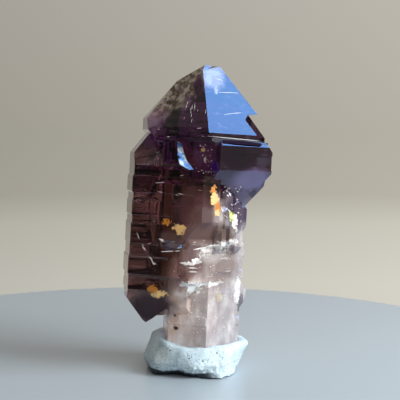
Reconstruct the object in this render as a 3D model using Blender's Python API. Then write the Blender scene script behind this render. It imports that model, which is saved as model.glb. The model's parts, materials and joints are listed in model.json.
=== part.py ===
"""An amethyst sceptre: a dark, doubly terminated quartz head grown round a pale quartz stem, stood in a lump of putty.

The crystal is modelled as quartz grows. Each individual is one convex crystal, cut out of a block by planes that all
share the six prism directions and the six rhombohedral slopes. Parallel individuals are joined into one solid, so
the steps and ledges on it are the differences between their distances from the c axis.

Crystal coordinates, in millimetres: x to the right, y away from the front, c up along the crystal's axis.
"""

import math
import random

import bmesh
import bpy
from mathutils import Matrix, Vector, noise

MM = 0.001

# How the crystal stands: where its c axis meets the surface, how the prism is turned, and how it leans
AXIS_FOOT = Vector((1.5, 0.0, 0.0))
TURN = 8.5
TILT_RIGHT = 2.8
LEAN_BACK = 6.0

# Quartz: six prism faces 60 degrees apart, and rhombohedral faces whose normals rise 38.2 degrees
FACES = ("left", "front_left", "front_right", "right", "back_right", "back_left")
AZIMUTH = {face: TURN - 90.0 + 60.0 * i for i, face in enumerate(FACES)}
RHOMB_RISE = 38.2
RHOMB_SLOPE = 1.0 / math.tan(math.radians(RHOMB_RISE))
BLOCK = 90.0
HAIR = 0.05

# The stem's two lengths: name, distances of the six prism faces, height of the tip buried in the head. Below, both are
# broken off: the broken faces, as azimuth, rise, distance
STEM = [
    ("stem", (6.9, 6.6, 6.4, 6.0, 6.4, 6.8), 50.0),
    ("stem_lower", (6.7, 6.4, 6.15, 6.75, 6.2, 6.6), 33.0),
]
BROKEN_END = [(0.0, -90.0, -3.2), (-100.0, -38.0, 2.9), (60.0, -44.0, 2.0), (160.0, -40.0, 2.2)]

# The putty, in millimetres and degrees from the front: how far out its foot, belly and rim lie, and its rim's height
STEM_GAP = 0.3
SEGMENTS = 56
PUTTY_LAYOUT = [
    # azimuth, foot, belly, rim, rim height
    (-180.0, 8.2, 9.4, 8.6, 6.5),
    (-140.0, 8.4, 9.5, 8.7, 6.7),
    (-105.0, 8.2, 9.2, 8.1, 6.8),
    (-80.0, 8.3, 9.3, 7.8, 6.7),
    (-50.0, 9.7, 9.8, 8.1, 6.2),
    (-22.0, 8.6, 9.5, 8.6, 5.8),
    (2.0, 8.5, 9.8, 8.8, 5.6),
    (30.0, 10.5, 10.4, 9.1, 5.7),
    (48.0, 10.0, 10.4, 9.7, 5.7),
    (72.0, 8.9, 10.2, 10.8, 5.7),
    (88.0, 8.4, 10.0, 11.2, 5.6),
    (110.0, 8.0, 9.8, 10.4, 5.8),
    (145.0, 8.2, 9.5, 9.2, 6.2),
    (180.0, 8.2, 9.4, 8.6, 6.5),
]
DENTS = [
    # azimuth, height, how deep, how wide: where a thumb pressed
    (-62.0, 5.2, 0.55, 2.6),
    (-20.0, 3.0, 0.50, 2.4),
    (22.0, 4.4, 0.45, 3.0),
    (70.0, 3.4, 0.70, 2.8),
    (118.0, 4.6, 0.60, 3.0),
    (165.0, 3.8, 0.55, 2.8),
    (-150.0, 5.0, 0.60, 2.6),
    (-108.0, 3.2, 0.50, 2.4),
]


def direction(azimuth, rise=0.0):
    """A unit vector: azimuth from the front, positive to the right, and rise above the horizontal, in degrees."""
    a, r = math.radians(azimuth), math.radians(rise)
    return Vector((math.sin(a) * math.cos(r), -math.cos(a) * math.cos(r), math.sin(r)))


def cut_block(name, planes):
    """The convex solid left of a block that planes cut, each an outward normal and a distance from the origin."""
    bm = bmesh.new()
    bmesh.ops.create_cube(bm, size=2 * BLOCK * MM)
    for normal, distance in planes:
        cut = bmesh.ops.bisect_plane(
            bm,
            geom=bm.verts[:] + bm.edges[:] + bm.faces[:],
            dist=1e-8,
            plane_co=normal * distance * MM,
            plane_no=normal,
            clear_outer=True,
        )
        rim = [e for e in cut["geom_cut"] if isinstance(e, bmesh.types.BMEdge)]
        if len(rim) > 2:
            bmesh.ops.contextual_create(bm, geom=rim)
    bmesh.ops.recalc_face_normals(bm, faces=bm.faces[:])
    mesh = bpy.data.meshes.new(name)
    bm.to_mesh(mesh)
    bm.free()
    return mesh


def individual(name, sides, tip, foot, chips=(), wider=0.0):
    """One crystal of the group. sides: distances of the six prism faces. tip and foot: the heights at which the six
    upper and the six lower rhombohedral planes cross the c axis. chips: broken faces, as azimuth, rise, distance.
    wider: how far all its faces are moved out. Each face is a hair off its nominal place, so no two are flush."""
    rng = random.Random(name)
    rise = math.sin(math.radians(RHOMB_RISE))
    planes = []
    for face, side, high, low in zip(FACES, sides, tip, foot):
        planes.append((direction(AZIMUTH[face]), side))
        planes.append((direction(AZIMUTH[face], RHOMB_RISE), rise * high))
        planes.append((direction(AZIMUTH[face], -RHOMB_RISE), -rise * low))
    planes += [(direction(azimuth, up), distance) for azimuth, up, distance in chips]
    return grown(name, cut_block(name, [(way, d + wider + rng.uniform(-HAIR, HAIR)) for way, d in planes]))


def grown(name, mesh):
    """An object in crystal coordinates, carried by the c axis."""
    obj = bpy.data.objects.new(name, mesh)
    bpy.context.scene.collection.objects.link(obj)
    obj.parent = bpy.data.objects["c_axis"]
    return obj


def plane_x(x, c, lean=0.0, facing=1):
    """A chip's plane through (x, c) that runs front to back. lean is its slope off the vertical, in degrees."""
    normal = direction(90.0 * facing, lean)
    return (90.0 * facing, lean, normal.x * x + normal.z * c)


def flat(c, facing=1):
    """A chip's plane square to the c axis, at height c."""
    return (0.0, 90.0 * facing, facing * c)


def rhomb(face, cap, facing=1):
    """A chip's plane parallel to the upper rhombohedral face of that name, crossing the c axis at height cap."""
    distance = facing * math.sin(math.radians(RHOMB_RISE)) * cap
    return (AZIMUTH[face] if facing > 0 else AZIMUTH[face] + 180.0, facing * RHOMB_RISE, distance)


def hollow(name, chips):
    """A cutter bounded by chip planes, for what is broken out of the crystal."""
    return grown(name, cut_block(name, [(direction(azimuth, up), distance) for azimuth, up, distance in chips]))


def c_axis():
    """The empty that carries the crystal: turned, tilted and leaning as the real one stands."""
    axis = bpy.data.objects.new("c_axis", None)
    bpy.context.scene.collection.objects.link(axis)
    tilt = Matrix.Rotation(math.radians(TILT_RIGHT), 4, "Y")
    lean = Matrix.Rotation(math.radians(-LEAN_BACK), 4, "X")
    axis.matrix_world = Matrix.Translation(AXIS_FOOT * MM) @ tilt @ lean
    return axis


def head():
    """The sceptre's head: the main crystal, ridged at the top, with a broad shoulder on each side of it."""
    return [
        individual(
            "head_main",
            sides=(9.9, 12.35, 10.5, 10.1, 10.0, 10.2),
            tip=(60.9, 59.7, 58.3, 59.6, 58.8, 58.9),
            foot=(24.0, 23.0, 24.1, 22.7, 24.0, 24.0),
            chips=[(-75.0, 61.0, 50.3)],
        ),
        individual(
            "head_left_shoulder",
            sides=(12.7, 11.9, 6.0, 6.0, 8.0, 9.5),
            tip=(63.6, 59.25, 57.0, 57.0, 58.0, 59.2),
            foot=(29.0, 28.0, 31.0, 31.0, 31.0, 31.0),
        ),
        individual(
            "head_right_shoulder",
            sides=(6.0, 11.3, 11.3, 11.0, 9.6, 6.0),
            tip=(60.0, 57.0, 57.2, 55.9, 56.6, 57.0),
            foot=(24.0, 23.0, 23.9, 23.8, 24.3, 24.0),
        ),
    ]


def left_lobe():
    """The part of the head that hangs down beside the stem: three crystals, each with its foot lower than the last."""
    underside = plane_x(-9.9, 9.0, lean=-52.0)
    return [
        individual(
            "lobe_upper",
            sides=(14.9, 12.7, 9.8, 0.6, 6.0, 10.4),
            tip=(59.7, 54.6, 49.6, 54.0, 54.0, 57.0),
            foot=(-5.4, 5.4, 16.0, 10.0, 6.0, 3.0),
        ),
        individual(
            "lobe_middle",
            sides=(14.7, 12.3, 7.2, 0.0, 5.5, 10.2),
            tip=(59.1, 53.5, 46.0, 50.0, 50.0, 50.0),
            foot=(-5.5, 2.2, 8.0, 6.0, 3.0, 2.0),
            chips=[underside],
        ),
        individual(
            "lobe_tip",
            sides=(15.05, 11.9, 5.8, 0.0, 5.0, 10.0),
            tip=(46.0, 44.0, 40.0, 40.0, 40.0, 44.0),
            foot=(-5.7, -0.2, 12.4, 5.4, 4.4, 3.2),
            chips=[underside],
        ),
    ]


def stem():
    """The pale stem, broken off below, and the overgrowth that steps down it from the head on the front and the back."""
    pieces = []
    for name, sides, top in STEM:
        pieces.append(individual(name, sides, tip=(top,) * 6, foot=(-30.0,) * 6, chips=BROKEN_END))
    # The slender crystal on its right side is in two lengths
    pieces.append(
        individual(
            "side_crystal_low",
            sides=(-4.0, 5.0, 5.9, 7.95, 7.4, 5.0),
            tip=(30.0, 30.0, 30.0, 25.6, 26.0, 30.0),
            foot=(0.0, 0.0, 0.0, 3.3, 3.0, 0.0),
        )
    )
    pieces.append(
        individual(
            "side_crystal_high",
            sides=(-4.0, 5.0, 5.5, 7.4, 7.0, 5.0),
            tip=(36.0, 36.0, 36.0, 33.0, 33.5, 36.0),
            foot=(8.0, 8.0, 8.0, 12.4, 12.0, 8.0),
        )
    )
    # Each step of the overgrowth: how far it stands out on the front left and front right, and where it ends
    steps = [(7.4, 3.4, 12.0), (8.0, 4.8, 15.6), (8.8, 6.6, 20.0), (9.7, 6.9, 23.8), (10.7, 7.1, 27.6), (11.4, 7.4, 31.6)]
    for i, (out_left, out_right, ends) in enumerate(steps):
        pieces.append(
            individual(
                f"step_{i}",
                sides=(6.4 + 0.7 * i, out_left, out_right, 5.2, 6.5 + 0.5 * i, 7.0 + 0.5 * i),
                tip=(46.0,) * 6,
                foot=(
                    ends - 9.0,
                    ends - RHOMB_SLOPE * out_left,
                    ends - RHOMB_SLOPE * out_right - 1.0,
                    ends - 7.0,
                    ends - 6.5,
                    ends - 8.0,
                ),
            )
        )
    return pieces


def band(name, sides, low, high, chips=()):
    """A growth band: a short length of crystal, some of whose faces stand out a little from the crystal it is on."""
    return individual(
        name,
        sides=sides,
        tip=[high + RHOMB_SLOPE * side for side in sides],
        foot=[low - RHOMB_SLOPE * side for side in sides],
        chips=[flat(high + 0.7), flat(low - 0.7, -1), *chips],
    )


def growth_bands():
    """The steps across the prism faces: broad ones on the head and the lobe, close-set ones round the stem."""
    rng = random.Random(11)
    pieces = []
    for i, (left, front, corner, end, lean, low, high) in enumerate(
        [
            (15.20, 12.86, 9.2, -3.4, 24.0, 33.6, 36.4),
            (15.08, 12.82, 9.2, -6.2, -30.0, 29.2, 31.8),
            (15.12, 12.80, 7.0, -5.8, -34.0, 23.8, 27.6),
            (15.26, 12.45, 6.8, -7.0, 32.0, 18.2, 21.4),
            (15.16, 12.10, 5.4, -9.0, -20.0, 15.2, 16.6),
        ]
    ):
        ragged_end = [plane_x(end, 0.5 * (low + high), lean=lean)]
        pieces.append(band(f"lobe_band_{i}", (left, front, corner, 0.0, 4.5, 10.6), low, high, chips=ragged_end))
    for i, (back_right, back_left, right, low, high) in enumerate(
        [(10.35, 10.5, 9.0, 39.0, 43.4), (10.2, 10.75, 8.0, 35.6, 37.6), (10.8, 9.0, 8.6, 36.4, 41.0)]
    ):
        pieces.append(band(f"head_band_{i}", (6.0, 6.0, 6.0, right, back_right, back_left), low, high))
    low = 8.8
    for i in range(8):
        high = low + rng.uniform(0.7, 2.2)
        sides = [side + rng.uniform(-0.3, 0.24) for side in (6.9, 6.6, 6.4, 6.75, 6.4, 6.8)]
        pieces.append(band(f"stem_band_{i}", sides, low, high))
        low = high + rng.uniform(0.4, 1.3)
    return pieces


def rough_patch():
    """The rough patch on the right below the head: three broken steps, and small crystals parallel to the stem."""
    pieces = []
    for i, (out, right, ends) in enumerate([(9.1, 1.7, 28.8), (8.4, 3.1, 27.2), (7.8, 4.3, 29.6)]):
        pieces.append(
            individual(
                f"patch_step_{i}",
                sides=(5.0, 10.0, out, right, 5.0, 5.0),
                tip=(46.0,) * 6,
                foot=(ends, ends, ends - RHOMB_SLOPE * out, ends - RHOMB_SLOPE * right, ends, ends),
            )
        )
    for i, (x, y, c, width) in enumerate(
        [
            (3.0, -7.5, 33.8, 1.80),
            (4.9, -5.6, 32.2, 1.60),
            (1.8, -9.0, 31.2, 1.30),
            (6.3, -4.2, 31.4, 1.20),
            (4.0, -6.7, 29.6, 1.45),
            (5.6, -4.7, 28.0, 1.30),
            (2.6, -7.9, 27.6, 1.10),
        ]
    ):
        centre = Vector((x, y, 0.0))
        sides = [direction(AZIMUTH[face]).dot(centre) + width * (1.0, 0.88)[(i + k) % 2] for k, face in enumerate(FACES)]
        pieces.append(
            individual(
                f"small_{i}",
                sides=sides,
                tip=[c + RHOMB_SLOPE * (side - 0.25 * width * (k % 2)) for k, side in enumerate(sides)],
                foot=[c - 3.2 * width - RHOMB_SLOPE * side for side in sides],
                chips=[flat(c + 0.7 * width)],
            )
        )
    return pieces


def broken_out():
    """The hollow under the termination, in three depths, the notch in the termination's edge, a chip at the right."""
    return [
        hollow("hollow_facet", [
            (-132.0, -30.0, -23.0),
            plane_x(-6.56, 42.0, facing=-1),
            plane_x(-2.2, 38.4, lean=20.0),
            flat(43.6),
            flat(37.9, -1),
        ]),
        hollow("hollow_deep", [
            plane_x(-5.5, 42.0, lean=2.0, facing=-1),
            plane_x(-5.4, 41.2, lean=-38.0, facing=-1),
            plane_x(1.2, 40.0, lean=8.0),
            (172.0, 14.0, -0.4),
            flat(43.45),
            flat(38.1, -1),
        ]),
        hollow("hollow_deepest", [
            plane_x(-3.1, 41.0, lean=14.0, facing=-1),
            plane_x(0.4, 40.0, lean=-16.0),
            (165.0, -20.0, -24.4),
            flat(42.3),
            flat(38.7, -1),
        ]),
        hollow("notch_behind", [
            plane_x(8.3, 49.0, lean=83.0, facing=-1),
            rhomb("right", 57.4, facing=-1),
            flat(43.9, -1),
        ]),
        hollow("notch_in_front", [
            plane_x(6.87, 48.83, lean=84.5, facing=-1),
            plane_x(6.45, 48.0, lean=27.0, facing=-1),
            rhomb("right", 54.7, facing=-1),
            (180.0, 0.0, -1.6),
            flat(43.7, -1),
        ]),
        hollow("corner_chip", [
            (AZIMUTH["front_right"] + 180.0, 0.0, -10.8), plane_x(8.8, 40.0, facing=-1), flat(41.2), flat(38.4, -1),
        ]),
    ]


def crystal(amethyst):
    """The sceptre in one solid: every individual joined, then what is missing from it taken away."""
    first, *others = head() + left_lobe() + stem() + growth_bands() + rough_patch()
    first.name = "crystal"
    first.data.materials.append(amethyst)
    combine(first, "intergrown", "UNION", helpers("individuals", others))
    combine(first, "broken_out", "DIFFERENCE", helpers("broken_parts", broken_out()))
    return first


def around(azimuth):
    """The putty's foot, belly, rim and rim height at an azimuth, eased between the rows of the layout."""
    for low, high in zip(PUTTY_LAYOUT, PUTTY_LAYOUT[1:]):
        if low[0] <= azimuth <= high[0]:
            t = (azimuth - low[0]) / (high[0] - low[0])
            t = t * t * (3.0 - 2.0 * t)
            return [a + (b - a) * t for a, b in zip(low[1:], high[1:])]
    raise ValueError(azimuth)


def putty(grey_blue):
    """The lump of mounting putty: pressed flat below, thumbed up round the stem, its lip drawn out to the right."""
    bm = bmesh.new()
    rings = []
    for i in range(SEGMENTS):
        azimuth = -180.0 + 360.0 * i / SEGMENTS
        foot, belly, rim, height = around(azimuth)
        lift = 0.8 * math.exp(-(((azimuth + 20.0) / 16.0) ** 2))
        # Outline of the lump in this direction: distance out and height
        outline = [
            (foot - 1.5 * lift, 0.0),
            (foot + 0.35, 0.25 + 0.8 * lift),
            (belly - 0.35, 0.24 * height + 0.3 * lift),
            (belly, 0.42 * height),
            (0.5 * (belly + rim) + 0.1, 0.62 * height),
            (rim + 0.05, 0.82 * height),
            (rim - 0.45, 0.95 * height),
            (rim - 1.15, height),
            (rim - 2.3, height - 0.35),
            (5.2, height - 0.7),
            (3.0, height - 0.7),
        ]
        ring = []
        for k, (out, up) in enumerate(outline):
            point = direction(azimuth) * out
            point.z = up
            if 0 < k < 9:
                for dent_azimuth, dent_height, depth, width in DENTS:
                    turn = (azimuth - dent_azimuth + 180.0) % 360.0 - 180.0
                    away = math.hypot(math.radians(turn) * out, up - dent_height)
                    point -= direction(azimuth) * depth * math.exp(-((away / width) ** 2))
                point += direction(azimuth) * 0.28 * noise.noise(point * 0.45)
                point += direction(azimuth, 30.0) * 0.16 * noise.noise(point * 1.1 + Vector((7.0, 0.0, 0.0)))
            ring.append(bm.verts.new(point * MM))
        rings.append(ring)
    rows = len(rings[0])
    for i in range(SEGMENTS):
        a, b = rings[i], rings[(i + 1) % SEGMENTS]
        for k in range(rows - 1):
            bm.faces.new((a[k], b[k], b[k + 1], a[k + 1]))
    bm.faces.new([ring[0] for ring in reversed(rings)])
    bm.faces.new([ring[-1] for ring in rings])
    bmesh.ops.recalc_face_normals(bm, faces=bm.faces[:])
    mesh = bpy.data.meshes.new("putty")
    bm.to_mesh(mesh)
    bm.free()
    mesh.materials.append(grey_blue)
    lump = bpy.data.objects.new("putty", mesh)
    bpy.context.scene.collection.objects.link(lump)
    sockets = []
    for name, sides, top in STEM:
        sockets.append(individual(name, sides, (top,) * 6, (-30.0,) * 6, chips=BROKEN_END, wider=STEM_GAP))
    combine(lump, "stem_socket", "DIFFERENCE", helpers("sockets", sockets))
    return lump


def material(name, colour, roughness, transmission=0.0, ior=1.5):
    """A plain Principled material."""
    made = bpy.data.materials.new(name)
    made.use_nodes = True
    shader = made.node_tree.nodes["Principled BSDF"]
    shader.inputs["Base Color"].default_value = (*colour, 1.0)
    shader.inputs["Roughness"].default_value = roughness
    shader.inputs["Transmission Weight"].default_value = transmission
    shader.inputs["IOR"].default_value = ior
    return made


def helpers(name, objects):
    """A collection of the solids that a Boolean joins or cuts with, none of them a part of its own."""
    group = bpy.data.collections.new(name)
    bpy.context.scene.collection.children.link(group)
    for obj in objects:
        bpy.context.scene.collection.objects.unlink(obj)
        group.objects.link(obj)
        obj.hide_render = True
        obj.display_type = "WIRE"
    return group


def combine(obj, name, operation, group):
    """A Boolean of the object with every solid of a collection."""
    step = obj.modifiers.new(name, "BOOLEAN")
    step.operation = operation
    step.operand_type = "COLLECTION"
    step.solver = "EXACT"
    step.collection = group


def main():
    for obj in list(bpy.data.objects):
        bpy.data.objects.remove(obj)
    c_axis()
    crystal(material("amethyst", (0.12, 0.035, 0.11), 0.05, transmission=1.0, ior=1.544))
    putty(material("mounting_putty", (0.56, 0.74, 0.80), 0.8))


main()
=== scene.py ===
import json
import math
import random

import bmesh
import bpy
from mathutils import Matrix, Vector, noise
from mathutils.bvhtree import BVHTree

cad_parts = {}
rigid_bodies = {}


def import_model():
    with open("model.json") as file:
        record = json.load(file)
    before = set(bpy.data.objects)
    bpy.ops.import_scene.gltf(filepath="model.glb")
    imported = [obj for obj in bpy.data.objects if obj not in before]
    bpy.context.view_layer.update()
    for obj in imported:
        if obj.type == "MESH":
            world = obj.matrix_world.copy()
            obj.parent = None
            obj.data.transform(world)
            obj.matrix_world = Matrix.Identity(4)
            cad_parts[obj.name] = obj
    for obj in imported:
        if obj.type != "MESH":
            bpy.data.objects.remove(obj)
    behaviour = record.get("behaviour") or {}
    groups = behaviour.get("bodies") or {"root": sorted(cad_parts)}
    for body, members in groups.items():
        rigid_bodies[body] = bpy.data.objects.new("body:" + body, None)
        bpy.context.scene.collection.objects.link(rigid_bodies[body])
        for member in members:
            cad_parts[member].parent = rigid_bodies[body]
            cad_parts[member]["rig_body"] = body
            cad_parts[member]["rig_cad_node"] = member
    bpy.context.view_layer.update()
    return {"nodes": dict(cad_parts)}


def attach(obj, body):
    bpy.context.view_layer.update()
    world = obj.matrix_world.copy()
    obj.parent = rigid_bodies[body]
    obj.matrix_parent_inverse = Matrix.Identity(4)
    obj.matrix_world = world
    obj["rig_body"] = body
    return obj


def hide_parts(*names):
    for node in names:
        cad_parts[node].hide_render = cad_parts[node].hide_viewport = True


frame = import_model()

# The crystal
# One piece of quartz, grown in nature: a dark amethyst head over a pale, milky stem. Its faces are flat and
# glassy, its long edges are slightly worn, and fine growth lines cross the prism faces. Plain lengths are in
# millimetres along its own axes: x to the right, y away and c up the prism.
MM = 0.001
AXIS_FOOT = Vector((1.5, 0.0, 0.0)) * MM
LEAN = (math.radians(-6.0), math.radians(2.8), 0.0)
MERGE_WITHIN = 0.002 * MM
FLAT_WITHIN = math.radians(0.6)
EDGE_WEAR = 0.07 * MM
NEAR = 0.1 * MM
FRONT_EDGE = [
    ((-0.70, -2.13, 56.78), (-1.3, -1.03, 0.0)),
    ((-1.50, -1.74, 56.41), (-0.6, -0.5, 0.0)),
    ((0.89, -12.74, 44.97), (-1.3, -1.03, 0.0)),
]
NOTCH_FROM, NOTCH_FLOOR, RIDGE = -0.9 * MM, 57.1 * MM, 57.95 * MM
LONG_EDGE = 2.2 * MM
SHARP_EDGE = math.radians(20.0)
PRISM_RADIUS = 12.0
LINES_FROM, LINES_TO = 5.0, 45.5
LINE_SPACING = (0.45, 1.7)
LINE_DEPTH = 0.006
LINE_SEED = 7
QUARTZ_IOR = 1.544
tilt = Matrix.Rotation(LEAN[1], 4, "Y") @ Matrix.Rotation(LEAN[0], 4, "X")
crystal_to_world = Matrix.Translation(AXIS_FOOT) @ tilt
world_to_crystal = crystal_to_world.inverted()
turned = crystal_to_world.to_3x3()


def only(obj):
    """Selects this object alone and makes it active."""
    bpy.ops.object.select_all(action="DESELECT")
    obj.select_set(True)
    bpy.context.view_layer.objects.active = obj


def copy_of(node, name):
    """A copy of a CAD node with a mesh of its own, its loose triangles merged into whole faces."""
    piece = frame["nodes"][node].copy()
    piece.data = frame["nodes"][node].data.copy()
    piece.name = name
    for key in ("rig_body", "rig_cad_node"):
        if key in piece:
            del piece[key]
    piece.parent = None
    bpy.context.scene.collection.objects.link(piece)
    piece.hide_viewport = piece.hide_render = False
    piece.hide_set(False)
    piece.data.materials.clear()
    only(piece)
    bpy.ops.object.mode_set(mode="EDIT")
    bpy.ops.mesh.select_all(action="SELECT")
    bpy.ops.mesh.remove_doubles(threshold=MERGE_WITHIN)
    bpy.ops.mesh.dissolve_limited(angle_limit=FLAT_WITHIN)
    bpy.ops.object.mode_set(mode="OBJECT")
    return piece


def fill_notch(obj):
    """Lifts the low points between the two summits, where the tip is one short ridge."""
    for vertex in obj.data.vertices:
        place = world_to_crystal @ vertex.co
        if NOTCH_FROM < place.x < 0.0 and NOTCH_FLOOR < place.z < RIDGE:
            place.z = RIDGE
            vertex.co = crystal_to_world @ place


def move_front_edge(obj):
    """Moves the tip's front edge to the left, in the plane of the face that mirrors the sky."""
    for vertex in obj.data.vertices:
        place = world_to_crystal @ vertex.co
        for end, shift in FRONT_EDGE:
            if (place - Vector(end) * MM).length < NEAR:
                vertex.co = crystal_to_world @ (place + Vector(shift) * MM)


def wear_edges(obj):
    """Rounds the long outer edges, which rub against the neighbouring stones first."""
    only(obj)
    bpy.ops.object.mode_set(mode="EDIT")
    bpy.ops.mesh.select_mode(type="EDGE")
    bpy.ops.mesh.select_all(action="DESELECT")
    mesh = bmesh.from_edit_mesh(obj.data)
    for edge in mesh.edges:
        long_enough = edge.is_manifold and edge.calc_length() > LONG_EDGE
        edge.select_set(long_enough and edge.calc_face_angle_signed() > SHARP_EDGE)
    bmesh.update_edit_mesh(obj.data)
    bpy.ops.mesh.bevel(offset=EDGE_WEAR, segments=2, affect="EDGES", clamp_overlap=True)
    bpy.ops.object.mode_set(mode="OBJECT")


def growth_lines(obj):
    """Cuts the faces across at many levels and moves each in or out by some thousandths of a millimetre."""
    dice = random.Random(LINE_SEED)
    levels = [LINES_FROM]
    while levels[-1] < LINES_TO:
        levels.append(levels[-1] + dice.uniform(*LINE_SPACING))
    shifts = [0.0] + [dice.uniform(-LINE_DEPTH, LINE_DEPTH) for _ in levels[1:-1]] + [0.0]
    only(obj)
    bpy.ops.object.mode_set(mode="EDIT")
    bpy.ops.mesh.select_mode(type="VERT")
    for level in levels:
        bpy.ops.mesh.select_all(action="SELECT")
        on_axis = crystal_to_world @ Vector((0.0, 0.0, level * MM))
        bpy.ops.mesh.bisect(plane_co=on_axis, plane_no=turned.col[2])
    bpy.ops.object.mode_set(mode="OBJECT")
    for vertex in obj.data.vertices:
        place = world_to_crystal @ vertex.co
        c = place.z / MM
        for low, high, before, after in zip(levels, levels[1:], shifts, shifts[1:]):
            if low <= c < high:
                shift = before + (after - before) * (c - low) / (high - low)
                place.x *= 1.0 + shift / PRISM_RADIUS
                place.y *= 1.0 + shift / PRISM_RADIUS
        vertex.co = crystal_to_world @ place


crystal = copy_of("crystal", "amethyst_crystal")
fill_notch(crystal)
move_front_edge(crystal)
wear_edges(crystal)
growth_lines(crystal)


def srgb(colour):
    """A hex colour as Blender's linear red, green, blue and alpha."""
    parts = [int(colour[i:i + 2], 16) / 255 for i in (1, 3, 5)]
    return tuple(p / 12.92 if p <= 0.04045 else ((p + 0.055) / 1.055) ** 2.4 for p in parts) + (1.0,)


def add(tree, kind, sockets=None, **properties):
    """Adds a node. A socket takes a number, a hex colour, a vector, a node, or a node and its output."""
    made = tree.nodes.new("ShaderNode" + kind)
    for name, value in properties.items():
        setattr(made, name, value)
    for name, value in (sockets or {}).items():
        if isinstance(value, bpy.types.Node):
            value = (value, 0)
        if isinstance(value, tuple) and isinstance(value[0], bpy.types.Node):
            tree.links.new(value[0].outputs[value[1]], made.inputs[name])
        else:
            made.inputs[name].default_value = srgb(value) if isinstance(value, str) else value
    return made


def fresh(name):
    """A new material, its tree, its shader and its output."""
    made = bpy.data.materials.new(name)
    made.use_nodes = True
    nodes = made.node_tree.nodes
    return made, made.node_tree, nodes["Principled BSDF"], nodes["Material Output"]


def clouds(tree, place, scale, stretch=(1.0, 1.0, 1.0), detail=3.0):
    """Noise with this many features to the millimetre, squeezed along each axis by its stretch."""
    spread = add(tree, "VectorMath", {0: place, 1: stretch}, operation="MULTIPLY")
    return add(tree, "TexNoise", {"Vector": spread, "Scale": scale, "Detail": detail})


def wander(tree, pattern, reach):
    """Turns a pattern into a shift of up to half the reach either way."""
    centred = add(tree, "Math", {0: pattern, 1: 0.5}, operation="SUBTRACT")
    return add(tree, "Math", {0: centred, 1: reach}, operation="MULTIPLY")


def patch(tree, place, outline, centre, radii, blur):
    """One inside an ellipsoid whose outline wanders and nought outside it."""
    moved = add(tree, "VectorMath", {0: place, 1: centre}, operation="SUBTRACT")
    scaled = add(tree, "VectorMath", {0: moved, 1: radii}, operation="DIVIDE")
    length = add(tree, "VectorMath", {0: scaled}, operation="LENGTH")
    uneven = add(tree, "Math", {0: (length, "Value"), 1: outline}, operation="ADD")
    return add(tree, "MapRange", {"Value": uneven, "From Min": 1.0 + blur, "From Max": 1.0 - blur})


def beyond(tree, axes, outline, line, blur):
    """One above a line given as x, c and slope in the crystal's millimetres, and nought below it."""
    x, c, slope = line
    fall = add(tree, "Math", {0: (axes, "X"), 1: -slope}, operation="MULTIPLY")
    level = add(tree, "Math", {0: (axes, "Z"), 1: fall}, operation="ADD")
    uneven = add(tree, "Math", {0: level, 1: outline}, operation="ADD")
    middle = c - slope * x
    return add(tree, "MapRange", {"Value": uneven, "From Min": middle - blur, "From Max": middle + blur})


# Where the colour lies, as lines of x, c and slope: the head is all above its foot, and the left lobe reaches
# down beside a slanting line. The head is purple above and burgundy below, with a clear, mossy rim at its
# upper left.
HEAD_FOOT, FOOT_BLUR = 33.0, 1.0
LOBE_LINE, LOBE_BLUR = (-6.6, 13.5, 2.375), 2.4
RIM_LINE, RIM_BLUR = (-1.7, 53.4, 0.91), 0.8
PURPLE_LINE, PURPLE_BLUR = (-12.0, 40.5, -0.38), 2.5
RIM_BEHIND, RIM_IN_FRONT = 3.5, 1.0
RIM_LOWER_FROM, RIM_LOWER_TO = 49.5, 46.5
LEFT_FACE_TURN = math.radians(8.5)
LEFT_FACE = (-math.cos(LEFT_FACE_TURN), -math.sin(LEFT_FACE_TURN), 0.0)
MARGIN_FROM, MARGIN_TO = 12.25, 12.5
MARGIN_BEHIND, MARGIN_IN_FRONT = -8.2, -8.6

# Patterns in the quartz: features to the millimetre, how each axis is squeezed, and detail
WISPS = (0.42, (1.5, 1.5, 0.8), 5.0)
MOSS = (0.8, (1.3, 1.0, 1.0), 9.0)
VEILS = (0.9, (0.5, 0.5, 1.5), 7.0)
GRAIN = (2.2, (1.0, 1.0, 1.0), 5.0)
FINE_LINES = (0.5, (0.25, 0.25, 5.0), 3.0)
STEM_LUMPS = (0.35, (1.6, 1.6, 0.8), 6.0)
FLAKES_PER_MM, SPARKS_PER_MM = 2.6, 1.9
VEIL_FROM, VEIL_TO = 0.54, 0.72

# How far the patterns shift an outline, how blurred outlines are, and how small a stain isn't flaky
WISP_REACH, GRAIN_REACH, GENTLE_SHARE = 6.0, 1.3, 0.09
SOFT_BLUR, SHARP_BLUR = 0.3, 0.05
TINY_STAIN = 0.5

# The quartz's own tints, by place, and the colour of its painted glints
STEM_LEFT, STEM_RIGHT, MILK = "#ffdec4", "#e4dcdf", "#fffaf6"
BURGUNDY, PURPLE, VEIL, PAINTED_GLINT = "#70483e", "#5a3d57", "#a58a93", "#b59a94"
MARGIN, RIM_PALE, RIM_MOSS, RIM_LOWER = "#958d80", "#c8b9a4", "#564735", "#8d7884"

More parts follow.
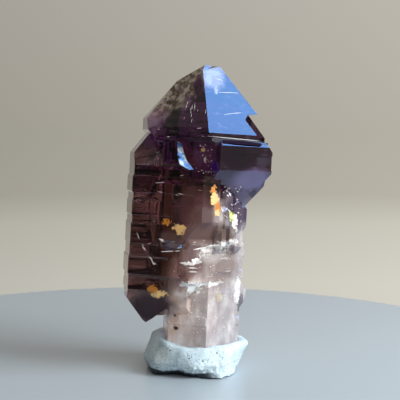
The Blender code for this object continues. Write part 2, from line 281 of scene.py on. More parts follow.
# Soft changes of the colour that shows through the faces: colour, clearness, roughness, centre and radii
SMOKE, VIOLET, DUSK = "#8d7467", "#7b6e8f", "#8378a6"
REGIONS = [
    (VIOLET, 0.8, 0.12, (6.2, -6.5, 31.0), (3.6, 5.0, 3.6)),
    (SMOKE, 0.75, 0.4, (2.4, -9.3, 26.0), (3.4, 4.0, 2.4)),
    ("#a5898a", 0.75, 0.08, (-1.8, -10.0, 21.5), (2.4, 4.0, 3.6)),
    ("#cbbab6", 0.7, 0.10, (3.0, -6.5, 20.5), (4.5, 4.0, 4.2)),
    (DUSK, 0.55, 0.04, (8.2, -6.6, 36.6), (4.6, 5.0, 2.2)),
    ("#5d5468", 0.85, 0.2, (10.0, -6.0, 40.3), (1.7, 2.4, 1.3)),
    # Painted shade: the dark band under the head's step
    ("#2b2230", 0.6, 0.5, (6.0, -9.0, 43.65), (12.0, 10.0, 0.5)),
    ("#9a6680", 0.85, 0.10, (-1.2, -10.5, 40.4), (2.4, 3.0, 2.8)),
    # Painted light: the violet glow of light coming through the hollow
    ("#6234b0", 0.3, 0.10, (1.4, -10.8, 38.8), (1.2, 1.8, 1.5)),
    ("#a8767a", 0.86, 0.06, (-2.6, -11.0, 31.0), (3.4, 4.0, 4.6)),
    ("#987e7a", 0.8, 0.10, (-6.2, -10.5, 24.9), (2.4, 3.0, 1.8)),
    ("#8f6c64", 0.55, 0.9, (-1.0, -11.0, 26.3), (3.0, 4.0, 2.0)),
    ("#d9cfcc", 0.5, 0.2, (2.0, -9.0, 22.4), (3.6, 4.0, 1.7)),
    ("#7a5450", 0.62, 0.5, (-0.6, -12.0, 29.4), (2.2, 3.4, 2.2)),
    ("#8f6662", 0.85, 0.06, (-4.6, -10.0, 18.4), (2.2, 4.0, 2.6)),
    ("#4a302c", 1.0, 0.03, (-9.6, -9.0, 17.5), (4.0, 5.0, 5.0)),
    ("#301722", 0.6, 0.7, (-9.5, -6.5, 11.6), (4.5, 7.0, 3.2)),
    ("#38224a", 1.0, 0.03, (6.0, -10.5, 40.8), (4.6, 4.0, 2.2)),
    ("#c3c0c8", 0.65, 0.06, (0.1, -3.0, 55.6), (2.4, 5.0, 2.4)),
    ("#7d3c66", 1.0, 0.03, (-2.7, -4.5, 53.2), (0.9, 3.0, 2.4)),
    ("#4a302c", 1.0, 0.03, (-12.0, -7.0, 26.0), (2.8, 6.0, 9.0)),
    ("#93605c", 1.0, 0.03, (-9.8, -9.5, 33.5), (3.6, 4.0, 4.6)),
]

# Flaky stains of iron, frosted patches and white breaks, given in the same way
RUST, PALE_RUST, DARK_IRON, FROST, WHITE = "#c97f2c", "#f0c480", "#3d2d22", "#e6ecf6", "#fffdf8"
STAINS = [
    (RUST, 0.0, 0.55, (1.0, -11.7, 34.4), (0.55, 1.4, 1.0)),
    (PALE_RUST, 0.0, 0.5, (1.2, -11.6, 32.9), (0.8, 1.4, 1.1)),
    (RUST, 0.0, 0.55, (2.0, -10.9, 31.4), (0.8, 1.6, 0.9)),
    (PALE_RUST, 0.0, 0.5, (1.8, -11.1, 30.3), (0.5, 1.4, 0.7)),
    (PALE_RUST, 0.0, 0.55, (-5.0, -11.9, 27.3), (1.4, 1.4, 0.6)),
    (PALE_RUST, 0.0, 0.55, (-4.9, -11.9, 26.6), (0.7, 1.4, 0.7)),
    (RUST, 0.0, 0.55, (-7.4, -10.8, 28.2), (0.9, 1.2, 0.55)),
    (PALE_RUST, 0.0, 0.6, (-8.1, -9.0, 14.5), (1.7, 2.6, 0.75)),
    (RUST, 0.1, 0.6, (-9.4, -9.0, 15.5), (1.0, 2.0, 0.8)),
    (PALE_RUST, 0.2, 0.5, (-1.3, -10.7, 41.8), (0.4, 0.9, 0.4)),
    ("#f1d8cf", 0.2, 0.4, (-0.9, -10.4, 40.0), (0.22, 0.8, 0.45)),
    ("#e6d2ae", 0.5, 0.4, (3.0, -5.7, 14.2), (0.5, 1.2, 0.8)),
    (DARK_IRON, 0.2, 0.5, (-4.8, -5.3, 7.9), (0.42, 0.9, 0.36)),
    (DARK_IRON, 0.3, 0.5, (-5.1, -5.4, 10.3), (0.2, 0.6, 0.3)),
    ("#7d7a84", 0.4, 0.25, (7.4, -2.6, 12.8), (0.8, 2.6, 1.9)),
    ("#f4f2f0", 0.2, 0.25, (6.6, -3.2, 15.4), (0.5, 2.6, 2.6)),
    ("#d7dcf0", 0.1, 0.3, (3.1, -9.6, 31.0), (0.6, 1.4, 0.5)),
    ("#fbfdee", 0.0, 0.3, (5.3, -7.4, 28.6), (0.5, 1.5, 1.5)),
    ("#d8df86", 0.0, 0.3, (4.7, -8.3, 29.8), (0.5, 1.2, 0.9)),
    (FROST, 0.68, 0.2, (0.2, -3.0, 56.6), (1.6, 3.0, 0.6)),
    (FROST, 0.68, 0.2, (-0.8, -3.6, 55.2), (0.6, 2.6, 1.2)),
    (FROST, 0.7, 0.2, (0.7, -5.4, 53.4), (0.5, 1.8, 0.9)),
    (WHITE, 0.0, 0.4, (-3.0, -9.8, 16.8), (1.7, 3.0, 0.5)),
    (WHITE, 0.0, 0.4, (-1.8, -9.8, 16.0), (1.2, 3.0, 1.0)),
    (WHITE, 0.0, 0.4, (1.2, -8.5, 16.7), (2.6, 3.0, 0.45)),
    (WHITE, 0.0, 0.4, (-2.7, -10.5, 20.8), (1.3, 3.0, 0.3)),
    (WHITE, 0.1, 0.4, (-1.6, -10.5, 21.3), (0.8, 3.0, 0.4)),
    ("#efe9e6", 0.2, 0.3, (0.2, -10.0, 23.2), (1.0, 3.0, 0.5)),
    ("#efe9e6", 0.15, 0.3, (1.7, -9.5, 23.8), (1.1, 3.0, 0.7)),
    ("#efe9e6", 0.15, 0.3, (3.4, -8.5, 24.3), (1.2, 3.0, 0.8)),
    ("#efe9e6", 0.2, 0.3, (5.2, -7.0, 24.8), (1.1, 3.0, 0.6)),
]

# Quartz, grown with flat faces: glassy and clear. The stem looks pale and milky, the head smoky violet to
# burgundy, and iron stains lie in its pits and along its breaks.
quartz, tree, shader, output = fresh("amethyst_quartz")
coordinates = add(tree, "TexCoord")
place = add(
    tree, "Mapping",
    {"Vector": (coordinates, "Object"), "Location": AXIS_FOOT, "Rotation": LEAN, "Scale": (MM, MM, MM)},
    vector_type="TEXTURE",
)
axes = add(tree, "SeparateXYZ", {"Vector": place})
wisps = clouds(tree, place, *WISPS)
moss = clouds(tree, place, *MOSS)
veils = clouds(tree, place, *VEILS)
grain = clouds(tree, place, *GRAIN)
wavy = wander(tree, wisps, WISP_REACH)
ragged = wander(tree, grain, GRAIN_REACH)
gentle = add(tree, "Math", {0: wavy, 1: GENTLE_SHARE}, operation="MULTIPLY")
flakes = add(tree, "TexVoronoi", {"Vector": place, "Scale": FLAKES_PER_MM})
sparks = add(tree, "TexVoronoi", {"Vector": place, "Scale": SPARKS_PER_MM})
# Painted sparkle: spots of tiny white highlights, where the grain allows
sparkle_spots = add(tree, "MapRange", {"Value": sparks, "From Min": 0.30, "From Max": 0.12, "To Max": 0.7})
grainy = add(tree, "MapRange", {"Value": grain, "From Min": 0.50, "From Max": 0.64})
painted_sparkle = add(tree, "Math", {0: sparkle_spots, 1: grainy}, operation="MULTIPLY")

# Which part of the crystal a point is in: the head, its clear rim and the purple above the burgundy
level = add(tree, "Math", {0: (axes, "Z"), 1: wavy}, operation="ADD")
above_foot = add(
    tree, "MapRange", {"Value": level, "From Min": HEAD_FOOT - FOOT_BLUR, "From Max": HEAD_FOOT + FOOT_BLUR},
)
in_lobe = beyond(tree, axes, wavy, LOBE_LINE, LOBE_BLUR)
head = add(tree, "Math", {0: above_foot, 1: in_lobe}, operation="MAXIMUM")
above_rim = beyond(tree, axes, wavy, RIM_LINE, RIM_BLUR)
rim_side = add(tree, "MapRange", {"Value": (axes, "Y"), "From Min": RIM_BEHIND, "From Max": RIM_IN_FRONT})
rim = add(tree, "Math", {0: above_rim, 1: rim_side}, operation="MULTIPLY")
purple = beyond(tree, axes, wavy, PURPLE_LINE, PURPLE_BLUR)

# The stem: warm on its left, greyer on its right, with milky wisps and a painted sparkle of tiny white
# highlights
rightward = add(tree, "MapRange", {"Value": (axes, "X"), "From Min": -6.0, "From Max": 4.0})
stem_colour = add(tree, "MixRGB", {"Fac": rightward, "Color1": STEM_LEFT, "Color2": STEM_RIGHT})
milky = add(tree, "MapRange", {"Value": wisps, "From Min": 0.45, "From Max": 0.75})
stem_colour = add(tree, "MixRGB", {"Fac": milky, "Color1": stem_colour, "Color2": MILK})
stem_colour = add(tree, "MixRGB", {"Fac": painted_sparkle, "Color1": stem_colour, "Color2": "#ffffff"})

# The head: burgundy to purple, with pale veils, painted glints, a grey margin at its left and the mossy rim
head_colour = add(tree, "MixRGB", {"Fac": purple, "Color1": BURGUNDY, "Color2": PURPLE})
veiled = add(tree, "MapRange", {"Value": veils, "From Min": VEIL_FROM, "From Max": VEIL_TO, "To Max": 0.6})
head_colour = add(tree, "MixRGB", {"Fac": veiled, "Color1": head_colour, "Color2": VEIL})
painted_glints = add(tree, "Math", {0: painted_sparkle, 1: 0.6}, operation="MULTIPLY")
head_colour = add(tree, "MixRGB", {"Fac": painted_glints, "Color1": head_colour, "Color2": PAINTED_GLINT})
leftward = add(tree, "VectorMath", {0: place, 1: LEFT_FACE}, operation="DOT_PRODUCT")
at_left = add(
    tree, "MapRange", {"Value": (leftward, "Value"), "From Min": MARGIN_FROM, "From Max": MARGIN_TO},
)
in_front = add(
    tree, "MapRange", {"Value": (axes, "Y"), "From Min": MARGIN_BEHIND, "From Max": MARGIN_IN_FRONT},
)
margin = add(tree, "Math", {0: at_left, 1: in_front}, operation="MULTIPLY")
head_colour = add(tree, "MixRGB", {"Fac": margin, "Color1": head_colour, "Color2": MARGIN})
mossy = add(tree, "MapRange", {"Value": moss, "From Min": 0.38, "From Max": 0.60})
rim_colour = add(tree, "MixRGB", {"Fac": mossy, "Color1": RIM_PALE, "Color2": RIM_MOSS})
lower = add(tree, "MapRange", {"Value": (axes, "Z"), "From Min": RIM_LOWER_FROM, "From Max": RIM_LOWER_TO})
rim_colour = add(tree, "MixRGB", {"Fac": lower, "Color1": rim_colour, "Color2": RIM_LOWER})
head_colour = add(tree, "MixRGB", {"Fac": rim, "Color1": head_colour, "Color2": rim_colour})
colour = add(tree, "MixRGB", {"Fac": head, "Color1": stem_colour, "Color2": head_colour})

# How clear it is: about half in the milky stem, and nearly all in the head but for its veils, rim and painted
# sparkle
wispy = add(
    tree, "MapRange", {"Value": wisps, "From Min": 0.35, "From Max": 0.75, "To Min": 0.12, "To Max": -0.12},
)
stem_clear = add(
    tree, "MapRange",
    {"Value": (axes, "X"), "From Min": -6.0, "From Max": 3.0, "To Min": 0.42, "To Max": 0.55},
)
stem_clear = add(tree, "Math", {0: wispy, 1: stem_clear}, operation="ADD")
mossy_rim = add(tree, "Math", {0: rim, 1: 0.45}, operation="MULTIPLY")
hazy = add(tree, "MapRange", {"Value": veils, "From Min": VEIL_FROM, "From Max": VEIL_TO, "To Max": 0.25})
cloudy = add(tree, "Math", {0: mossy_rim, 1: hazy}, operation="MAXIMUM")
head_clear = add(tree, "Math", {0: head, 1: cloudy}, operation="SUBTRACT")
clear = add(tree, "Math", {0: stem_clear, 1: head_clear}, operation="MAXIMUM")
sparkle_opacity_share = add(tree, "MapRange", {"Value": head, "To Min": 0.4, "To Max": 0.12})
sparkle_opacity = add(tree, "Math", {0: painted_sparkle, 1: sparkle_opacity_share}, operation="MULTIPLY")
clear = add(tree, "Math", {0: clear, 1: sparkle_opacity}, operation="SUBTRACT")
rough = add(tree, "MapRange", {"Value": head, "To Min": 0.16, "To Max": 0.02})

# The soft changes of colour go on first and the stains over them. All but the tiny stains end in flakes.
for rows, where, outline, blur in (
    (REGIONS, place, gentle, SOFT_BLUR),
    (STAINS, (flakes, "Position"), ragged, SHARP_BLUR),
):
    for patch_colour, clearness, roughness, centre, radii in rows:
        tiny = max(radii[0], radii[2]) < TINY_STAIN
        inside = patch(tree, place if tiny else where, outline, centre, radii, blur)
        colour = add(tree, "MixRGB", {"Fac": inside, "Color1": colour, "Color2": patch_colour})
        clear = add(tree, "Mix", {"Factor": inside, "A": clear, "B": clearness})
        rough = add(tree, "Mix", {"Factor": inside, "A": rough, "B": roughness})

# The surface: fine lines across the faces, and soft lumps on the stem
lines = clouds(tree, place, *FINE_LINES)
lined = add(tree, "Bump", {"Strength": 0.2, "Distance": 0.02 * MM, "Height": lines})
lumps = clouds(tree, place, *STEM_LUMPS)
on_stem = add(tree, "MapRange", {"Value": head, "From Max": 0.6, "To Min": 0.5, "To Max": 0.0})
lumpy = add(tree, "Bump", {"Strength": on_stem, "Distance": 0.5 * MM, "Height": lumps, "Normal": lined})
for socket, value in (
    ("Base Color", colour), ("Transmission Weight", clear), ("Roughness", rough), ("Normal", lumpy),
):
    tree.links.new(value.outputs[0], shader.inputs[socket])
shader.inputs["IOR"].default_value = QUARTZ_IOR
absorb = add(tree, "VolumeAbsorption", {"Color": (0.88, 0.72, 0.88, 1.0), "Density": 18.0})
tree.links.new(absorb.outputs["Volume"], output.inputs["Volume"])
crystal.data.materials.append(quartz)
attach(crystal, "root")
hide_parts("crystal")

# The amethyst's colour
# Not a separate thing but the part of the quartz that holds the colour, as clear as the rest and darker:
# purple above and burgundy in the lobe. It follows the faces a little way in and leaves them a clear rim.
RIM = 0.75 * MM
GRID = 0.45 * MM

# Where the colour ends inside, as lines of x, c and slope like those of the tints
UPPER_CUT = (-12.0, 40.6, -0.38)
LOBE_CUT = (-8.0, 13.5, 2.375)


def apply_all(obj):
    """Applies an object's modifiers in their order."""
    only(obj)
    for step in list(obj.modifiers):
        bpy.ops.object.modifier_apply(modifier=step.name)


def even_out(obj):
    """Gives an object one closed skin of even small squares."""
    remesh = obj.modifiers.new("even_mesh", "REMESH")
    remesh.mode = "VOXEL"
    remesh.voxel_size = GRID
    apply_all(obj)


def core(name):
    """The crystal's own shape, smaller by the rim."""
    piece = copy_of("crystal", name)
    even_out(piece)
    inward = piece.modifiers.new("inward", "DISPLACE")
    inward.strength = -RIM
    inward.mid_level = 0.0
    apply_all(piece)
    even_out(piece)
    return piece


def cut(obj, line, keep_above):
    """Cuts a mesh along a plane that runs front to back through a line of x, c and slope."""
    x, c, slope = line
    only(obj)
    bpy.ops.object.mode_set(mode="EDIT")
    bpy.ops.mesh.select_all(action="SELECT")
    bpy.ops.mesh.bisect(
        plane_co=crystal_to_world @ (Vector((x, 0.0, c)) * MM),
        plane_no=turned @ Vector((-slope, 0.0, 1.0)).normalized(),
        use_fill=True,
        clear_inner=keep_above,
        clear_outer=not keep_above,
    )
    bpy.ops.object.mode_set(mode="OBJECT")


def colour_zone(name, cuts, colour, density):
    """A clear closed body inside the crystal that only absorbs light, so its own skin doesn't show."""
    piece = core(name)
    for line, keep_above in cuts:
        cut(piece, line, keep_above)
    even_out(piece)
    made, tree, shader, output = fresh(name)
    shader.inputs["Base Color"].default_value = (1.0, 1.0, 1.0, 1.0)
    shader.inputs["Roughness"].default_value = 0.0
    shader.inputs["IOR"].default_value = 1.0
    shader.inputs["Transmission Weight"].default_value = 1.0
    absorb = add(tree, "VolumeAbsorption", {"Color": colour, "Density": density})
    tree.links.new(absorb.outputs["Volume"], output.inputs["Volume"])
    piece.data.materials.append(made)
    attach(piece, "root")


# Amethyst quartz: iron in it takes out green light most, so what comes through is violet, or burgundy where
# it is smoky. Each call gives the cuts, the colour let through and how strongly the rest is taken out.
colour_zone(
    "amethyst_purple_zone", [(UPPER_CUT, True), (RIM_LINE, False)], (0.50, 0.14, 0.57, 1.0), 110.0,
)
colour_zone(
    "amethyst_burgundy_zone", [(PURPLE_LINE, False), (LOBE_CUT, True)], (0.45, 0.30, 0.30, 1.0), 112.0,
)

# The healed breaks
# Cracks and veils inside the quartz and scratches on its faces. Each is a thin ragged film that throws back
# white light, so it shows as a bright sliver.
FILM = 0.03
HAIRLINE = 0.03
FAR_IN_FRONT = -40.0
RAGGED_PER_UNIT = 2.3
SCRATCH_RAGGED, FLAKE_RAGGED = 0.6, 0.8
BREAK_SEED = 11
crystal_points = [vertex.co for vertex in crystal.data.vertices]
faces = BVHTree.FromPolygons(crystal_points, [face.vertices for face in crystal.data.polygons])
breaks = []
dice = random.Random(BREAK_SEED)


def on_front(x, c):
    """The point on the crystal's front at x and c, and the way it faces, in the crystal's millimetres."""
    start = crystal_to_world @ (Vector((x, FAR_IN_FRONT, c)) * MM)
    hit, normal = faces.ray_cast(start, turned @ Vector((0.0, 1.0, 0.0)))[:2]
    return (world_to_crystal @ hit) / MM, turned.transposed() @ normal


def film(centre, along, facing, half_length, half_width, ragged):
    """A thin closed lens with an uneven outline, in the crystal's millimetres."""
    along = along.normalized()
    facing = (facing - along * facing.dot(along)).normalized()
    across = facing.cross(along)
    bpy.ops.mesh.primitive_ico_sphere_add(subdivisions=2, radius=1.0)
    piece = bpy.context.object
    for vertex in piece.data.vertices:
        p = vertex.co.copy()
        p *= 1.0 + ragged * noise.noise(p * RAGGED_PER_UNIT + centre)
        spot = centre + along * (p.x * half_length) + across * (p.y * half_width) + facing * (p.z * FILM)
        vertex.co = crystal_to_world @ (spot * MM)
    breaks.append(piece)


def scratch(start, end, half_width=0.05):
    """A narrow scratch or crack that shows along a line on the front."""
    (first, way), (last, _) = on_front(*start), on_front(*end)
    film((first + last) / 2.0, last - first, way, (last - first).length / 2.0, half_width, SCRATCH_RAGGED)


def flake(x, c, half_length, half_width, slope=0.0):
    """A break that comes out at the surface and shows as a white flake."""
    middle, way = on_front(x, c)
    film(middle, Vector((1.0, 0.0, slope)), way, half_length, half_width, FLAKE_RAGGED)


def scatter(count, across, up, half_lengths, half_widths, slopes, rise=0.0):
    """Scatters flakes over a part of the front. With no widths given they are hairlines."""
    for _ in range(count):
        x = dice.uniform(*across)
        c = dice.uniform(*up) + rise * x
        half_length = dice.uniform(*half_lengths)
        half_width = dice.uniform(*half_widths) if half_widths else HAIRLINE
        flake(x, c, half_length, half_width, dice.uniform(*slopes))


# Scratches and the long crack, from one x and c to another, and half the width where it isn't the usual one
for row in (
    ((0.9, 52.8), (5.0, 53.0)),
    ((2.4, 48.6), (5.7, 49.2)),
    ((0.2, 55.6), (1.8, 55.2)),
    ((-12.9, 25.9), (-12.3, 24.6)),
    ((-12.4, 24.8), (-11.5, 23.4), 0.06),
    ((-11.8, 23.4), (-11.0, 22.6), 0.1),
    ((-11.2, 22.9), (-10.3, 21.4), 0.07),
    ((-10.6, 21.8), (-9.7, 20.9), 0.13),
    ((-10.0, 21.2), (-9.3, 19.9), 0.1),
    ((-9.6, 20.5), (-9.0, 20.2), 0.12),
    ((0.3, 44.3), (9.2, 44.0)),
    ((-2.3, 23.3), (0.2, 23.8), 0.09),
    ((0.0, 23.8), (2.6, 24.3), 0.14),
    ((2.4, 24.3), (5.9, 24.7), 0.08),
    ((-9.7, 35.3), (-8.0, 35.5)),
    ((-5.6, 33.6), (-4.3, 33.4)),
):
    scratch(*row)

# Single flakes: x, c, half the length, half the width, and the slope where there is one
for row in (
    (-3.2, 20.8, 1.3, 0.28),
    (-1.6, 21.0, 1.1, 0.35, 0.2),
    (-2.8, 20.0, 1.6, 0.15),
    (-2.7, 19.3, 1.5, 0.12),
    (-2.8, 16.8, 1.4, 0.35),
    (-1.5, 16.1, 1.0, 0.6, -0.4),
    (0.3, 16.8, 1.4, 0.32),
    (2.5, 17.0, 1.3, 0.2, 0.1),
    (-1.2, 15.1, 0.6, 0.4),
    (-0.2, 15.9, 0.7, 0.2, 0.4),
    (3.0, 21.5, 1.5, 0.12, 0.15),
    (4.1, 19.1, 1.0, 0.08, 0.1),
    (-0.4, 22.3, 0.5, 0.2),
    (-7.9, 24.7, 0.8, 0.2, -0.4),
    (-6.0, 22.9, 2.0, 0.07, 0.1),
    (5.6, 27.2, 0.3, 0.5),
    (8.1, 34.6, 0.15, 0.15),
    (3.3, 14.0, 0.3, 0.4),
):
    flake(*row)

# Scattered flakes: how many, over which x and c, half lengths, half widths, slopes and rise to the right
for row in (
    (60, (-2.5, 5.0), (7.0, 25.0), (0.05, 0.3), (0.04, 0.1), (-1.0, 1.0)),
    (34, (2.8, 6.6), (28.0, 35.5), (0.06, 0.28), (0.04, 0.12), (-2.0, 2.0)),
    (24, (-2.6, 0.6), (37.5, 43.0), (0.05, 0.16), (0.04, 0.1), (-2.0, 2.0)),
    (60, (-1.5, 4.8), (21.6, 23.6), (0.08, 0.4), (0.05, 0.14), (-0.6, 1.0), 0.18),
    (12, (-5.5, -1.2), (46.5, 50.5), (0.3, 0.9), None, (4.0, 9.0)),
    (16, (-11.0, -1.0), (17.0, 46.0), (0.15, 0.8), None, (-0.3, 0.5)),
):
    scatter(*row)


def joined(pieces, name):
    """Joins the pieces into one, with its origin at the scene's."""
    bpy.ops.object.select_all(action="DESELECT")
    for piece in pieces:
        piece.select_set(True)
    bpy.context.view_layer.objects.active = pieces[0]
    bpy.ops.object.join()
    made = bpy.context.object
    made.name = name
    bpy.ops.object.origin_set(type="ORIGIN_CURSOR")
    return made


# A healed break in quartz, full of tiny bubbles: it scatters the light, so it looks white and barely clear
films = joined(breaks, "healed_breaks")
bright, tree, shader, output = fresh("healed_break")
shader.inputs["Base Color"].default_value = srgb("#f6f0ea")
shader.inputs["Roughness"].default_value = 0.3
shader.inputs["Transmission Weight"].default_value = 0.15
films.data.materials.append(bright)
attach(films, "root")

# The facets with a painted sky reflection, and the ledge of painted shade
# Three small flat faces of the crystal, drawn as thin plates in their planes. Two of them, down the hollow's
# left wall and on the lobe, mirror the bright sky, and that reflection is painted into their colour. The
# third, under the step of the head, lies in shade, and that shade is painted as a nearly black plate.
HOLLOW_WALL = [
    (-6.2, 43.2), (-5.85, 40.2), (-5.4, 38.9), (-3.7, 38.0),
    (-2.9, 38.1), (-4.4, 39.9), (-5.0, 41.6), (-5.3, 42.8),
]
LOBE_FACE = [(-8.3, 24.9), (-7.9, 23.7), (-7.3, 22.95), (-4.5, 23.6), (-4.4, 24.2), (-6.2, 24.8)]
LEDGE_FACE = [(2.2, 43.8), (2.3, 43.35), (5.4, 43.2), (9.6, 43.1), (9.6, 43.55), (6.0, 43.8)]


def facet(corners, through, azimuth, rise):
    """A thin flat face: its corners as x and c, a point of its plane, and the azimuth and rise it faces."""
    a, r = math.radians(azimuth), math.radians(rise)
    way = Vector((math.sin(a) * math.cos(r), -math.cos(a) * math.cos(r), math.sin(r)))
    bpy.ops.mesh.primitive_circle_add(vertices=len(corners), fill_type="NGON")
    piece = bpy.context.object
    for vertex, (x, c) in zip(piece.data.vertices, corners):
        y = through[1] - (way.x * (x - through[0]) + way.z * (c - through[2])) / way.y
        vertex.co = crystal_to_world @ ((Vector((x, y, c)) + way * FILM) * MM)
    thick = piece.modifiers.new("thickness", "SOLIDIFY")
    thick.thickness = 4 * FILM * MM
    thick.offset = -1.0
    apply_all(piece)
    bpy.ops.object.mode_set(mode="EDIT")
    bpy.ops.mesh.select_all(action="SELECT")
    bpy.ops.mesh.normals_make_consistent(inside=False)
    bpy.ops.object.mode_set(mode="OBJECT")
    return piece


hollow_wall = facet(HOLLOW_WALL, (-5.2, -10.3, 40.7), 48.0, 30.0)
lobe_face = facet(LOBE_FACE, (-6.9, -10.9, 24.0), -21.5, 0.0)
painted_sky_plates = joined([hollow_wall, lobe_face], "painted_sky_reflection_facets")
ledge = facet(LEDGE_FACE, (6.5, -8.8, 43.55), 38.5, 38.2)
ledge.name = "painted_shade_ledge"

# Painted shade: quartz with the dark head behind it and nothing bright to mirror, drawn as a matt, nearly
# black plate
shade, tree, shader, output = fresh("painted_shade_quartz")
shader.inputs["Base Color"].default_value = srgb("#211a2b")
shader.inputs["Roughness"].default_value = 0.6
shader.inputs["Specular IOR Level"].default_value = 0.0
ledge.data.materials.append(shade)
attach(ledge, "root")

# Glassy quartz whose colour is a painted reflection: the blue sky, with pale and dark streaks
sky_reflection_paint, tree, shader, output = fresh("painted_sky_reflection_quartz")
coordinates = add(tree, "TexCoord")
place = add(tree, "VectorMath", {0: (coordinates, "Object"), 1: (1 / MM,) * 3}, operation="MULTIPLY")
streaks = clouds(tree, place, 0.6, (0.6, 0.6, 1.6))
pale = add(tree, "MapRange", {"Value": streaks, "From Min": 0.50, "From Max": 0.58})
dark = add(tree, "MapRange", {"Value": streaks, "From Min": 0.41, "From Max": 0.37})
painted_sky_colour = add(tree, "MixRGB", {"Fac": pale, "Color1": "#6a9ce0", "Color2": "#d3e2f6"})
painted_sky_colour = add(tree, "MixRGB", {"Fac": dark, "Color1": painted_sky_colour, "Color2": "#263352"})
tree.links.new(painted_sky_colour.outputs[0], shader.inputs["Base Color"])
shader.inputs["Roughness"].default_value = 0.08
shader.inputs["IOR"].default_value = QUARTZ_IOR
painted_sky_plates.data.materials.append(sky_reflection_paint)
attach(painted_sky_plates, "root")

# The putty
# A pinch of pale blue mounting putty, thumbed round the stem's foot by hand. It is matt and slightly tacky,
# smooth where the thumb went, crinkled and torn low down, and flecked with grit. Its front left edge lifts
# off the table.
LUMPS, LUMPS_PER_MM = 0.12, 0.45
CRINKLES, CRINKLES_PER_MM = 0.24, 1.1
CRINKLED_BELOW, CRINKLES_FADE = 4.0, 2.4
PITS, PITS_PER_MM, PIT_FROM = 0.2, 2.1, 0.42
TUCK, TUCK_HEIGHT, TUCK_SPREAD = 0.9, 1.5, 4.0
FLATTENED = Vector((1.0, 1.0, 1.6))
PALE_BLUE, WORN_BLUE, FINE_GRIT, COARSE_GRIT, SHADE = "#b3c9d3", "#d3e1e5", "#7b8b92", "#3a4146", "#242c36"


def share(value):
    """A number held between nought and one."""
    return max(0.0, min(1.0, value))


putty = copy_of("putty", "mounting_putty")
smooth = putty.modifiers.new("kneaded", "SUBSURF")
smooth.levels = smooth.render_levels = 3
apply_all(putty)
outward = [vertex.normal.copy() for vertex in putty.data.vertices]
for vertex, way in zip(putty.data.vertices, outward):
    p = vertex.co / MM
    low = share((CRINKLED_BELOW - p.z) / CRINKLES_FADE)
    slow = noise.noise(p * LUMPS_PER_MM)
    fine = noise.turbulence(p * FLATTENED * CRINKLES_PER_MM, 4, False)
    pit = max(0.0, noise.noise(p * PITS_PER_MM) - PIT_FROM) * 2.0
    vertex.co += way * (LUMPS * slow + CRINKLES * low * (fine - 0.5) - PITS * pit) * MM
    at_left = share((TUCK_SPREAD - p.x) / TUCK_SPREAD)
    in_front = share(-p.y / TUCK_SPREAD)
    under = max(0.0, 1.0 - p.z / TUCK_HEIGHT) * at_left * in_front
    vertex.co -= Vector((p.x, p.y, 0.0)).normalized() * (TUCK * under * MM)
    vertex.co.z = max(vertex.co.z, 0.0)
only(putty)
bpy.ops.object.shade_smooth()

# Mounting putty, kneaded by hand: matt, pale blue and a little uneven, with dust and grit worked in
paste, tree, shader, output = fresh("mounting_putty")
coordinates = add(tree, "TexCoord")
place = add(tree, "VectorMath", {0: (coordinates, "Object"), 1: (1 / MM,) * 3}, operation="MULTIPLY")
axes = add(tree, "SeparateXYZ", {"Vector": place})
kneaded = clouds(tree, place, 0.22)
skin = clouds(tree, place, 2.2, detail=4.0)
dust = clouds(tree, place, 0.5, detail=2.0)
coarse = add(tree, "TexVoronoi", {"Vector": place, "Scale": 0.9})
coarse_spots = add(tree, "MapRange", {"Value": coarse, "From Min": 0.17, "From Max": 0.12})
coarse_where = add(tree, "MapRange", {"Value": dust, "From Min": 0.5, "From Max": 0.54})
coarse_grit = add(tree, "Math", {0: coarse_spots, 1: coarse_where}, operation="MULTIPLY")
fine = add(tree, "TexVoronoi", {"Vector": place, "Scale": 2.5})
fine_spots = add(tree, "MapRange", {"Value": fine, "From Min": 0.28, "From Max": 0.2})
fine_where = add(tree, "MapRange", {"Value": dust, "From Min": 0.36, "From Max": 0.46})
fine_grit = add(tree, "Math", {0: fine_spots, 1: fine_where}, operation="MULTIPLY")
worn = add(tree, "MapRange", {"Value": kneaded, "From Min": 0.35, "From Max": 0.7})
body = add(tree, "MixRGB", {"Fac": worn, "Color1": PALE_BLUE, "Color2": WORN_BLUE})
body = add(tree, "MixRGB", {"Fac": fine_grit, "Color1": body, "Color2": FINE_GRIT})
body = add(tree, "MixRGB", {"Fac": coarse_grit, "Color1": body, "Color2": COARSE_GRIT})
# Painted shade: dark low down under the lifted front left edge, where the putty sits in its own shadow
at_left = add(tree, "MapRange", {"Value": (axes, "X"), "From Min": 6.0, "From Max": 3.0})
in_front = add(tree, "MapRange", {"Value": (axes, "Y"), "From Min": -1.0, "From Max": -4.0})
lifted = add(tree, "Math", {0: at_left, 1: in_front}, operation="MULTIPLY")
waves = add(tree, "Math", {0: kneaded, 1: 1.6}, operation="MULTIPLY")
height = add(tree, "Math", {0: (axes, "Z"), 1: waves}, operation="ADD")
low_down = add(tree, "MapRange", {"Value": height, "From Min": 2.1, "From Max": 1.8})
shaded = add(tree, "Math", {0: lifted, 1: low_down}, operation="MULTIPLY")
body = add(tree, "MixRGB", {"Fac": shaded, "Color1": body, "Color2": SHADE})
tree.links.new(body.outputs[0], shader.inputs["Base Color"])
bumps = add(tree, "Bump", {"Strength": 0.6, "Distance": 0.05 * MM, "Height": skin})
tree.links.new(bumps.outputs[0], shader.inputs["Normal"])
shader.inputs["Roughness"].default_value = 0.6
putty.data.materials.append(paste)
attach(putty, "root")
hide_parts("putty")

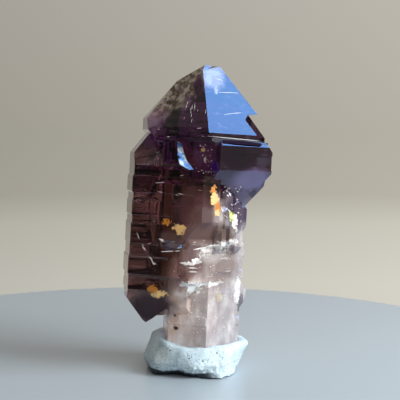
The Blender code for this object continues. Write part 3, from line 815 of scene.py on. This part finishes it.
# The table
# A plain pale round stand with a satin top, just wider than the view. It belongs to the picture, not to the
# part.
TABLE_RADIUS = 84 * MM
TABLE_DEPTH = 6 * MM
TABLE_CENTRE = (-8 * MM, -9 * MM, -3 * MM)
bpy.ops.mesh.primitive_cylinder_add(
    vertices=192, radius=TABLE_RADIUS, depth=TABLE_DEPTH, location=TABLE_CENTRE,
)
table = bpy.context.object
table.name = "table"
only(table)
bpy.ops.object.transform_apply(location=True)

# Painted board with a satin finish, which shows a soft mirror image of the light
satin, tree, shader, output = fresh("satin_table")
shader.inputs["Base Color"].default_value = srgb("#acb8c1")
shader.inputs["Roughness"].default_value = 0.28
table.data.materials.append(satin)

# The room's light
# A plain wall that is a little lighter to the right and low down, a window behind and to the right that is
# seen blue in the crystal's faces, soft daylight from the right, a broad light from in front, and a dim room.
WALL = [(0.0, "#b3aea5"), (0.5, "#aba79c"), (0.70, "#aeaa9f"), (0.80, "#c0bdb2"), (1.0, "#cac7bd")]
LIT_POINT = Vector((1.5, 0.0, 25.0)) * MM
world = bpy.data.worlds.new("room")
bpy.context.scene.world = world
world.use_nodes = True
tree = world.node_tree
background = tree.nodes["Background"]
coordinates = add(tree, "TexCoord")
axes = add(tree, "SeparateXYZ", {"Vector": (coordinates, "Generated")})
rays = add(tree, "LightPath")
downward = add(tree, "MapRange", {"Value": (axes, "Z"), "From Min": 0.02, "From Max": -0.20})
wall = add(tree, "ValToRGB", {"Fac": downward})
for position, _ in WALL[1:-1]:
    wall.color_ramp.elements.new(position)
for element, (position, hue) in zip(wall.color_ramp.elements, WALL):
    element.position, element.color = position, srgb(hue)
across = add(
    tree, "MapRange",
    {"Value": (axes, "X"), "From Min": -0.15, "From Max": 0.15, "To Min": 0.86, "To Max": 1.12},
)
beside = add(
    tree, "MapRange",
    {"Value": (axes, "X"), "From Min": 0.25, "From Max": 0.8, "To Min": 1.0, "To Max": 2.0},
)
in_the_room = add(
    tree, "MapRange",
    {"Value": (axes, "Y"), "From Min": -0.4, "From Max": 0.5, "To Min": 0.2, "To Max": 1.0},
)
ahead = add(tree, "Math", {0: in_the_room, 1: (rays, "Is Transmission Ray")}, operation="MAXIMUM")
around = add(tree, "Math", {0: beside, 1: ahead}, operation="MULTIPLY")
seen = add(tree, "Mix", {"Factor": (rays, "Is Camera Ray"), "A": around, "B": 1.0})
strength = add(tree, "Math", {0: across, 1: seen}, operation="MULTIPLY")
tree.links.new(wall.outputs["Color"], background.inputs["Color"])
tree.links.new(strength.outputs[0], background.inputs["Strength"])


def panel(name, towards, distance, size, colour, power, diffuse=True, glossy=True, through=True):
    """A soft square light that faces the crystal from the direction given, and which rays see it."""
    lamp = bpy.data.lights.new(name, "AREA")
    lamp.shape = "RECTANGLE"
    lamp.size, lamp.size_y = size, size
    lamp.color = colour
    lamp.energy = power
    holder = bpy.data.objects.new(name, lamp)
    bpy.context.scene.collection.objects.link(holder)
    aim = Vector(towards).normalized()
    holder.location = LIT_POINT + aim * distance
    holder.rotation_euler = aim.to_track_quat("Z", "Y").to_euler()
    holder.visible_diffuse = diffuse
    holder.visible_glossy = glossy
    holder.visible_transmission = through


# Each light's direction, its distance and side in metres, its colour and its watts
panel("window", (0.618, 0.335, 0.709), 0.6, 0.50, (0.131, 0.396, 1.0), 7.1, diffuse=False, through=False)
panel("key", (0.85, -0.3, 0.55), 0.34, 0.16, (0.90, 0.96, 1.0), 1.5, through=False)
panel("fill", (0.45, -1.0, 0.8), 0.9, 0.7, (1.0, 0.97, 0.94), 3.6, glossy=False)

# The camera
# At the photograph's viewing angle: aimed near the crystal's middle, from eight degrees above it.
TARGET = Vector((1.7, 0.0, 32.5)) * MM
DISTANCE = 250 * MM
ELEVATION = math.radians(8.0)
FOCAL_LENGTH = 118.4
NEAREST = 0.01
lens = bpy.data.cameras.new("camera")
lens.lens = FOCAL_LENGTH
lens.clip_start = NEAREST
camera = bpy.data.objects.new("camera", lens)
bpy.context.scene.collection.objects.link(camera)
camera.location = TARGET + DISTANCE * Vector((0.0, -math.cos(ELEVATION), math.sin(ELEVATION)))
camera.rotation_euler = (math.radians(90.0) - ELEVATION, 0.0, 0.0)
bpy.context.scene.camera = camera
bpy.context.scene.view_settings.view_transform = "Standard"

bpy.context.view_layer.update()
